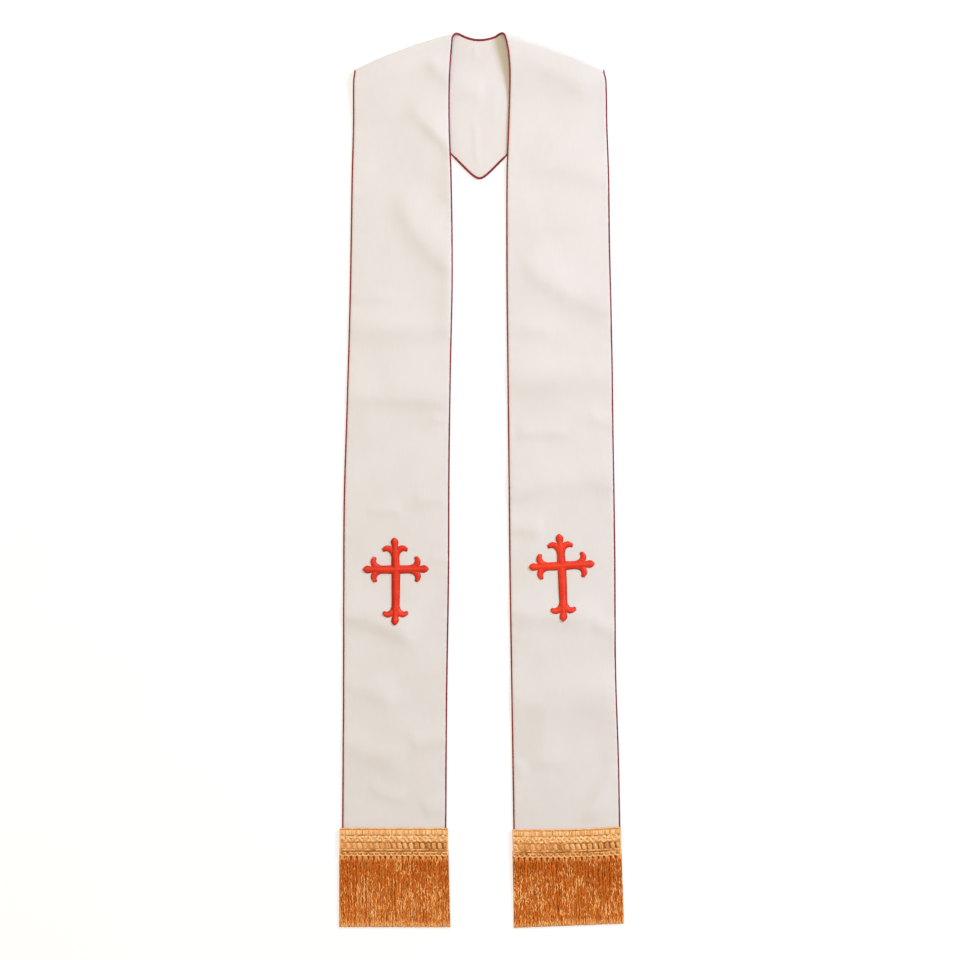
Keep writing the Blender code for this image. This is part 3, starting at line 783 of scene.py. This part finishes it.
def reach(outline, origin, direction, limit):
    """How far from the origin the closed outline is first met in this direction, at most limit."""
    run = np.roll(outline, -1, axis=0) - outline
    gap = outline - origin
    with np.errstate(divide="ignore", invalid="ignore"):
        far = crossed(gap, run) / crossed(direction, run)
        share = crossed(gap, direction) / crossed(direction, run)
    hits = far[(share >= 0) & (share <= 1) & (far > 1e-6)]
    return min(limit, hits.min()) if len(hits) else limit


def cross_outline():
    outline = []
    for quarter, length in enumerate(CROSS_ARMS):
        half = arm_outline(length)
        up = half[:0:-1] * (1, -1)
        corner = np.array(((CROSS_BAR_HALF, -CROSS_BAR_HALF),))
        outline.append(np.concatenate((corner, up, half)) @ turned(90 * (quarter + 1)).T)
    return np.concatenate(outline)


def satin(outline, route, widths, lift, crown, draw):
    """A padded band of satin stitches across a route: rows of points, two for each stitch. Widths,
    lift and crown are in millimetres."""
    steps = spaced(raised(route, 0.0), STITCH / 2)[:, :2]
    ahead = unit(np.gradient(steps, axis=0))
    shares, halves = np.array(widths).T
    limits = np.interp(np.linspace(0, 1, len(steps)), shares, halves * 0.001)
    rows = []
    for i, (spot, way, limit) in enumerate(zip(steps, ahead, limits)):
        side = np.array((-way[1], way[0]))
        ragged = draw.uniform(-0.00004, 0.00022) if i % 2 else -0.00008
        left = reach(outline, spot, side, limit) + ragged
        right = reach(outline, spot, -side, limit) + ragged
        offset = ACROSS * np.where(ACROSS > 0, left, right)
        plan = spot + side * offset[:, None]
        girth = min((left + right) / 2 / CROSS_BAR_HALF, 1.0)
        height = lift / 1000 + crown / 1000 * girth**0.7 * (1 - np.abs(ACROSS) ** 1.7)
        height = height + (-STITCH_RIDGE if i % 2 else STITCH_RIDGE) * np.sqrt(1 - ACROSS**2)
        height[[0, -1]] = 0.0
        rows.append(raised(plan, height))
    return np.array(rows)


# One curl of an arm's flower, in millimetres: a cubic curve of (along, across) that its stitches
# cross, half widths as (share of the curve, width), lift and crown
CURL = (
    ((18.5, 2.5), (29.5, 3.0), (33.0, 9.0), (29.0, 17.9)),
    ((0, 2.0), (0.25, 4.2), (0.5, 5.4), (0.86, 5.2), (1, 1.4)),
    0.4,
    2.2,
)
# The upright and the crossbar over them, in millimetres, from tip to tip: start x, start y, end x,
# end y, half width, lift, crown. Each narrows where its arm's flower opens.
BARS = (
    (0.0, 44.9, 0.0, -77.9, 6.1, 0.6, 3.0),
    (-46.2, 0.0, 46.2, 0.0, 5.7, 0.8, 3.1),
)
BUD = 5.6
NECK = (11.6, 4.3)  # the neck below a bud: how far from the tip, and its half width
FLOWER = 21.0  # from the tip to the full width of the bar


def cross_bands(draw):
    """Every embroidered element of the cross, lowest first, about the crossing of its bars."""
    outline = cross_outline()
    bands = []
    for quarter, length in enumerate(CROSS_ARMS):
        turn = turned(90 * (quarter + 1))
        curve, widths, lift, crown = CURL
        for hand in (1, -1):
            corners = np.array(curve) / 1000 + (length - CROSS_TOP_ARM, 0)
            line = bezier(*corners, np.linspace(0, 1, 24)[:, None]) * (1, hand)
            bands.append(satin(outline, line @ turn.T, widths, lift, crown, draw))
    for *ends, wide, lift, crown in BARS:
        line = np.array(ends).reshape(2, 2) / 1000
        long = math.dist(*line) * 1000
        stops = ((0, BUD), (NECK[0] / 2, BUD), NECK, (FLOWER, wide))
        start = [(far / long, half) for far, half in stops]
        end = [(1 - share, half) for share, half in reversed(start)]
        bands.append(satin(outline, line, start + end, lift, crown, draw))
    return bands


def build_cross(lay, material):
    """The padded satin-stitched cross on one front, every stitch a small ridge."""
    draw = np.random.default_rng(SEED + lay.side)
    points, faces, tints = [], [], []
    count = 0

    def add(block, tint):
        """Adds a block of points and returns their numbers."""
        nonlocal count
        index = count + np.arange(block.size // 3).reshape(block.shape[:-1])
        points.append(block.reshape(-1, 3))
        tints.append(np.broadcast_to(tint, index.shape).ravel())
        count += index.size
        return index

    # The underlay: the whole outline, low, for the stitches to cover, tinted dark as painted shade in
    # the gaps between them
    outline = cross_outline()
    faces += tube(add(np.stack((raised(outline, 0.0), raised(outline, UNDERLAY))), 0.1))
    bands = cross_bands(draw)
    upright = bands[-len(BARS)]
    for band in bands:
        rows = len(band)
        shade = np.repeat(draw.uniform(0.3, 0.7, (rows + 1) // 2), 2)[:rows]
        # Painted shade: each stitch is painted darker towards its ends, and the upright down one side
        painted_shade = 0.5 * np.abs(ACROSS) ** 5
        if band is upright:
            side, start = lay.cross_painted_shade
            painted_shade = painted_shade + 0.55 * ease((side * ACROSS - start) / 0.3)
        # Painted sheen lightens the whole of one cross
        index = add(band, shade[:, None] - painted_shade + lay.cross_painted_sheen)
        # Its flat underside, from the outer ends of the stitches
        under = add(band[:, [0, -1]] * (1, 1, 0), 0.1)
        faces += quads(index).tolist() + quads(under.T).tolist()
        for rim, foot in ((index[:, 0], under[:, 0]), (index[:, -1], under[:, 1])):
            faces += joined(rim, foot).tolist()
        for end in (0, -1):
            faces.append([*index[end].tolist(), *under[end, ::-1].tolist()])
    points = np.concatenate(points)
    from_bow = (points[:, 1] - CROSS_BOW_Y) / CROSS_BOW_REACH
    points[:, 1] += CROSS_LIFT * (points[:, 0] / CROSS_SIDE_ARM) ** 2
    points[:, 0] += CROSS_BOW * (0.42 - from_bow**2)
    plan = points[:, :2] @ turned(lay.cross_turn).T + (lay.cross_at[0] * lay.side, lay.cross_at[1])
    points = raised(plan, points[:, 2] + CROSS_BASE + relief(lay, plan[:, 0], plan[:, 1]))
    values = {"tint": np.concatenate(tints)}
    return mesh_object(f"cross_{lay.name}_stitched", points, faces, values, [material])


def cross_material():
    """Red satin thread."""
    recipe = Recipe("cross", 0.38, 0.48, (1.0, 0.35, 0.25))
    tone = recipe.maths("ADD", recipe.value("tint"), recipe.noise(recipe.spot(), 90.0))
    tone = recipe.maths("MULTIPLY", tone, 0.5)
    shade, light = (0.338, 0.008, 0.0048), (0.81, 0.047, 0.021)
    return recipe.colour(tone, (0.0, shade), (0.75, light))


# ---- the hems ----


def hem_place(lay, points):
    """Points of the braid or fringe, (across from its middle, up from the hem, height), in place."""
    plan = points[..., :2] @ turned(lay.hem_turn).T + (lay.hem_a * lay.side, HEM_Y)
    return raised(plan, points[..., 2])


def sag(lay, u):
    """How far the braid hangs down between its two ends."""
    return lay.braid_sag * (1 - (2 * u / BRAID_WIDTH) ** 2)


# The braid's rows: how far down from its top edge, and for cords also radius and tint
BRAID_GROUND = np.linspace(0.0008, 0.0372, 30)
UPPER_CORDS = ((0.0006, 0.0009, 0.60), (0.0094, 0.0006, 0.3), (0.0194, 0.0006, 0.3))
LOWER_CORDS = ((0.0302, 0.00105, 0.42), (0.0322, 0.0007, 0.10), (0.0341, 0.00105, 0.40))
LOOPS = np.linspace(0.0026, 0.0093, 6)
LOOP_LEG = 0.00182  # from one leg of a loop to the next
ZIGZAG = 0.0143
ZIGZAG_SWING = 0.0033
SHEAVES = 0.0246
SHEAF_HALF = 0.0041
SHEAVES_PAINTED_SHADE = (0.0205, 0.0290)  # painted shade: the rows of ground between them, painted darker towards the right
SCALLOP_ROW = 0.0352
SCALLOP_DROP = 0.0036


def build_braid(lay, material):
    """Gold gimp braid, from its top edge down: upright loops, a double zigzag, leaning sheaves, two
    cords and a scalloped edge, all sewn on a ground of fine cords."""
    draw = random.Random(SEED * 3 + lay.side)
    yarns = Yarns()
    half = BRAID_WIDTH / 2
    middles = [(k + 0.5) * PITCH - half for k in range(SCALLOPS)]

    def add(u, down, z, radius, sides, tint, **how):
        u, down, z = np.broadcast_arrays(u, down, z)
        path = np.stack((u, BRAID_ABOVE_HEM - down - sag(lay, u), BRAID_Z + z), axis=-1)
        yarns.add(hem_place(lay, path), radius, sides, tint, **how)

    length = np.linspace(-half + 0.0010, half - 0.0010, SCALLOPS * 16 + 1)

    def jitter(most=0.0002):
        return draw.uniform(-most, most)

    def uneven(amount, step=0.0032):
        """A random change of value along the whole length."""
        knots = np.arange(-half, half + step, step)
        return np.interp(length, knots, [jitter(amount) for _ in knots])

    for down in BRAID_GROUND:
        in_sheaves = SHEAVES_PAINTED_SHADE[0] < down < SHEAVES_PAINTED_SHADE[1]
        wave = 0.00015 * np.sin(length[::5] * 1400 + down * 2700)
        # Painted shade: the ground is tinted darker than the rows sewn over it, and between the sheaves
        # darker still towards the right
        ground = mix(0.44, -0.10, length[::5] / BRAID_WIDTH + 0.5) if in_sheaves else 0.40
        add(length[::5], down + wave, 0.0006, 0.00078, 5, ground + 0.10 * draw.random())
    # The top edge and the binding cords between the rows
    for down, radius, tint in UPPER_CORDS:
        add(length, down, 0.0015, radius, 6, tint + uneven(0.25), plied=(0.0024, 0.14))
    # The upright loops
    for middle in middles:
        shade = draw.uniform(0.78, 0.96)
        for leg in (-1.5, -0.5, 0.5, 1.5):
            down = LOOPS + jitter()
            u = middle + LOOP_LEG * leg + jitter() + np.linspace(0, 0.0003, 6)
            z = 0.0014 + 0.0006 * np.sin(np.linspace(0.2, 2.9, 6)) - 0.0001 * leg**2
            add(u, down, z, 0.00096, 6, shade + draw.uniform(-0.34, 0.20), squash=0.75)
    # The double zigzag, and knots that fill its eyes
    for phase in (0.0, 0.5):
        for strand in (-1, 1):
            turn = math.tau * (length / (2 * PITCH) + phase) + 0.25 * np.sin(length * 310 + 5 * phase)
            swing = np.sin(turn) * (1 - 0.14 * (1 + np.sin(length * 467 + 9 * phase)))
            down = ZIGZAG + ZIGZAG_SWING * np.sign(swing) * np.abs(swing) ** 0.8
            down = down + strand * 0.0008 + uneven(0.0006)
            z = 0.0017 + 0.0006 * np.cos(2 * turn + math.tau * phase)
            tint = 0.80 + 0.12 * strand * np.sin(turn * 3.1) + uneven(0.34, 0.0022)
            add(length, down, z, 0.00092, 6, tint, squash=0.75, plied=(0.0026, 0.12))
    for k in range(2 * SCALLOPS):
        middle = -half + (k + 0.5) * PITCH / 2
        for down in (0.0119, ZIGZAG, 0.0168):
            u = middle + np.linspace(-0.0011, 0.0011, 4) + jitter(0.0003)
            add(u, down + np.linspace(-0.0004, 0.0004, 4), 0.0013, 0.0009, 5, draw.uniform(0.5, 0.9))
    # The leaning sheaves, and a knot over each
    for k, middle in enumerate(middles):
        share = np.linspace(-1, 1, 8)
        lean = math.radians(12 + jitter(6))
        # Painted shade: the sheaves are tinted darker towards the right
        tint = draw.uniform(0.44, 0.80) - 0.10 * (k + 0.5) / SCALLOPS
        add(middle + np.linspace(-0.0009, 0.0009, 4), ZIGZAG, 0.0022, 0.0010, 6, tint)
        for strand in (-2, -1, 0, 1, 2):
            bow = strand * 0.00112 * (1 - 0.34 * share**2)
            u = middle + bow + SHEAF_HALF * share * math.sin(lean)
            down = SHEAVES + SHEAF_HALF * share * math.cos(lean) - 0.15 * bow
            z = 0.0013 + (0.0012 - 0.0002 * strand**2) * (1 - 0.7 * share**2)
            add(u, down, z, 0.00064, 5, tint + jitter(0.2))
    for down, radius, tint in LOWER_CORDS:
        wave = 0.00012 * np.sin(length * 700 + down * 900)
        tint = tint + uneven(0.36, 0.0026)
        add(length, down + wave, 0.0014, radius, 7, tint, plied=(0.0030, 0.14))
    # The two sides, turned over and stitched down
    for side in (-1, 1):
        down = np.linspace(0.0004, 0.0362, 40)
        add(side * (half - 0.0013) + 0.0003 * np.sin(down * 1900), down, 0.0014, 0.00105, 6, 0.55)
    # The scalloped edge
    turn = np.linspace(0, math.pi, 13)
    for middle in middles:
        for size, radius, tint in ((1.0, 0.0011, 0.62), (0.5, 0.0007, 0.2)):
            u = middle * 0.985 - PITCH / 2 * size * np.cos(turn)
            down = SCALLOP_ROW + SCALLOP_DROP * size * np.sin(turn) ** 0.8 + jitter()
            z = 0.0012 + 0.0004 * np.cos(2 * turn)
            add(u, down, z, radius, 6, tint + jitter(0.1))
    return yarns.build(f"braid_{lay.name}_gimp", material)


STRANDS = (
    # height, strands, segments, radius, kink, how much the scallops bunch them, tint (lower layers
    # darker: painted shade under the upper threads)
    (0.0006, 150, 12, 0.00082, 0.0001, 0.0, 0.05),
    (0.0012, 150, 14, 0.00082, 0.0002, 0.0, 0.14),
    (0.0019, 120, 54, 0.00086, 0.0006, 0.5, 0.25),
    (0.0027, 105, 54, 0.00086, 0.0007, 0.6, 0.31),
    (0.0035, 90, 54, 0.00078, 0.0008, 0.6, 0.35),
)
FRINGE_TOP = -0.0023  # where the threads start, under the braid
BUNCHED = 0.0105  # how far down the hem they stay gathered under the scallops
SPREAD = 0.0210  # and where they are spread evenly
FRINGE_CORNER = 0.0014  # how far inside the fringe's width the outermost threads are
CUT_UNEVEN = 0.0007
LOCK = 0.011  # the width over which threads sway alike
PAINTED_GLINT_STEP = 0.0050  # from one chance of a painted highlight, a short pale dash, to the next


def build_fringe(lay, material):
    """Thread fringe: layers of lustrous chained threads that kink and sway, cut nearly level."""
    draw = np.random.default_rng(SEED * 5 + lay.side)
    yarns = Yarns()
    half = FRINGE_WIDTH / 2
    for layer, count, segments, radius, kink, bunch, base in STRANDS:
        loose, flat = (1.0, 0.65) if bunch else (0.4, 1.0)
        for i in range(count):
            u = half * (2 * (i + 0.5 + draw.uniform(-0.35, 0.35) * loose) / count - 1)
            u = np.clip(u, FRINGE_CORNER - half, half - FRINGE_CORNER)
            share = np.linspace(0, 1, segments + 1)
            length = lay.fringe_length + FRINGE_TOP + SEAM_GAP - lay.fringe_slant * u / FRINGE_WIDTH
            length -= CUT_UNEVEN + abs(draw.normal(0, CUT_UNEVEN))
            run = share * length
            lock = u / LOCK
            phase = math.tau * (lock * 0.31 + 0.35 * share) + 1.3 * lay.side
            sway = 0.0016 * share**1.3 * np.sin(phase)
            sway += 0.0012 * share * math.sin(lock * 2.7 + layer * 4000)
            sway += draw.normal(0, 0.0014) * loose * share**1.5
            jog = np.cumsum(draw.normal(0, kink * 0.5, segments + 1))
            jog -= np.linspace(jog[0], jog[-1], segments + 1)
            curl = kink * np.sin(math.tau * (run / draw.uniform(0.005, 0.009) + draw.random()))
            below = run - FRINGE_TOP - sag(lay, u)
            gather = bunch * (1 - ease((below - BUNCHED) / (SPREAD - BUNCHED)))
            scallop = (math.floor((u + BRAID_WIDTH / 2) / PITCH) + 0.5) * PITCH - BRAID_WIDTH / 2
            across = u + (scallop - u) * gather
            spread, drift = mix(1, lay.fringe_spread, share), lay.fringe_drift * share
            across = across * spread + drift + sway + (jog + curl * 0.6) * np.minimum(1, share * 6)
            edge = half * spread - 0.0013
            across = np.clip(across, drift - edge, drift + edge)
            up = layer + kink * 0.5 * np.cos(math.tau * (run / 0.0062 + draw.random()))
            thick = radius * draw.uniform(0.85, 1.15)
            up = np.maximum(up - 0.0008 * share * (layer > 0.001), thick + ABOVE_FLOOR)
            path = np.stack((across, FRINGE_TOP - run, up), axis=-1)
            # Painted highlights: short pale dashes in the tint where kinks would catch the light, most
            # of all low down
            knots = np.linspace(0, length, round(length / PAINTED_GLINT_STEP))
            glint = np.interp(run, knots, draw.random(len(knots)))
            patch = ripple(u, run * 0.6, 0.050, 71 + lay.side) / 2
            often = 0.90 - 0.16 * ease(share * 1.8 - 0.2) - 0.20 * np.clip(patch, 0, 1)
            painted_glint = np.clip(glint - often, 0, 1) * 7.0 * (bunch > 0)
            tuft = (bunch > 0) * (1 - ease((run - 0.010) / 0.008))
            # The lower layers' darker base tint is painted shade under the upper threads
            tint = base + lay.fringe_painted_shade + draw.normal(0, 0.08) + painted_glint + 0.42 * tuft
            tint = tint + 0.10 * ease(share * 1.4)
            tint = tint + 0.10 * ease((share - 0.6) / 0.4) + 0.40 * ease((share - 0.90) / 0.10)
            yarns.add(hem_place(lay, path), thick, 3, tint, turn=draw.random() * 2, squash=flat)
    return yarns.build(f"fringe_{lay.name}_threads", material)


# ---- the picture ----

FRAME_SIDE = 1.344  # metres of the surface that the picture shows
FRAME_CENTRE = (0.0008, 0.0025)
LENS = 100.0
SENSOR = 36.0
SKY = (0.602, 0.554, 0.506)
HORIZON = (0.92, 0.91, 0.89)


def add_camera():
    camera = bpy.data.cameras.new("camera")
    camera.lens = LENS
    camera.sensor_width = SENSOR
    camera.clip_end = 80.0
    above = (*FRAME_CENTRE, FRAME_SIDE * LENS / SENSOR)
    bpy.context.scene.camera = add_object("camera", camera, above)


def add_light(name, place, size, power, colour):
    """A round soft light that points at the middle of the stole."""
    light = bpy.data.lights.new(name, "AREA")
    light.shape = "DISK"
    light.size = size
    light.energy = power
    light.color = colour
    made = add_object(name, light, place)
    made.rotation_euler = (-Vector(place)).to_track_quat("-Z", "Y").to_euler()


def add_lights():
    add_light("key", (2.80, 1.96, 2.40), 1.5, 172.5, (0.575, 0.70, 1.0))
    add_light("fill", (-0.3, 1.6, 4.2), 2.4, 72.5, (1.0, 0.905, 0.47))
    world = bpy.data.worlds.new("world")
    bpy.context.scene.world = world
    # An even soft sky, paler just above the floor's far edge
    sky = Nodes(world, "Background")
    height = sky.node("SeparateXYZ", {"Vector": sky.node("TexCoord", {}, "Generated")}, "Z")
    sky.feed(sky.ramp(height, (0.0, HORIZON), (0.12, SKY)), "Color")


def add_floor():
    half, below = 20.0, -0.0004
    corners = [(x * half, y * half, below) for x, y in ((-1, -1), (1, -1), (1, 1), (-1, 1))]
    recipe = Recipe("floor", 0.9, 0.1, Emission_Color=(1, 1, 1, 1), Emission_Strength=0.60)
    tone = recipe.noise(recipe.spot(), 3.0)
    mesh = bpy.data.meshes.new("floor")
    mesh.from_pydata(corners, [], [(0, 1, 2, 3)])
    mesh.materials.append(recipe.colour(tone, (0.3, [0.372] * 3), (0.7, [0.384] * 3)))
    add_object("floor", mesh)


# ---- the scene ----


def place_piece(piece, slot, *nodes):
    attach(piece, "root")
    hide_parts(*nodes)
    return piece


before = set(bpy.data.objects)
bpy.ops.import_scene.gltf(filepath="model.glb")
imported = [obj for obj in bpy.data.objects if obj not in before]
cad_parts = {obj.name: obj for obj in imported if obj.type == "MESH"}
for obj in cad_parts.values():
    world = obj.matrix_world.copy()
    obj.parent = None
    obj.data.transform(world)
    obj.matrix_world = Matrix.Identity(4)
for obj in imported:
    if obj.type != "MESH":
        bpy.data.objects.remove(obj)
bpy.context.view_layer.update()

cloth = cloth_material("cloth", (0.673, 0.627, 0.597), (0.633, 0.582, 0.548), 0.0005)
lining = cloth_material("lining", (0.669, 0.617, 0.585), (0.637, 0.580, 0.544), 0.0004)
piping = piping_material()
red = cross_material()
gimp = thread_material(
    "braid",
    ((0.306, 0.085, 0.0097), (0.82, 0.382, 0.126), (0.92, 0.62, 0.300)),
    gleam=(1.0, 0.70, 0.36),
    roughness=0.38,
    ply=0.0009,
    glints=(420.0, 1.0, 0.7),
)
rayon = thread_material(
    "fringe",
    ((0.395, 0.0625, 0.0052), (0.728, 0.188, 0.0235), (1.0, 0.52, 0.180)),
    gleam=(1.0, 0.55, 0.20),
    roughness=0.30,
    ply=0.0012,
    glints=(700.0, 5.0, 1.0),
)

for lay in (LEFT, RIGHT):
    band = build_band(lay, cloth, lining)
    place_piece(band, "cloth", f"band_{lay.name}")
    cross = place_piece(build_cross(lay, red), "cross", f"cross_{lay.name}")
    braid = place_piece(build_braid(lay, gimp), "braid", f"braid_{lay.name}")
    fringe = place_piece(build_fringe(lay, rayon), "fringe", f"fringe_{lay.name}")
for which, name in enumerate(("inner", "outer")):
    place_piece(build_piping(f"piping_{name}_cord", which, piping), "piping", f"piping_{name}")

add_floor()
add_lights()
add_camera()
bpy.context.scene.view_settings.view_transform = "Standard"
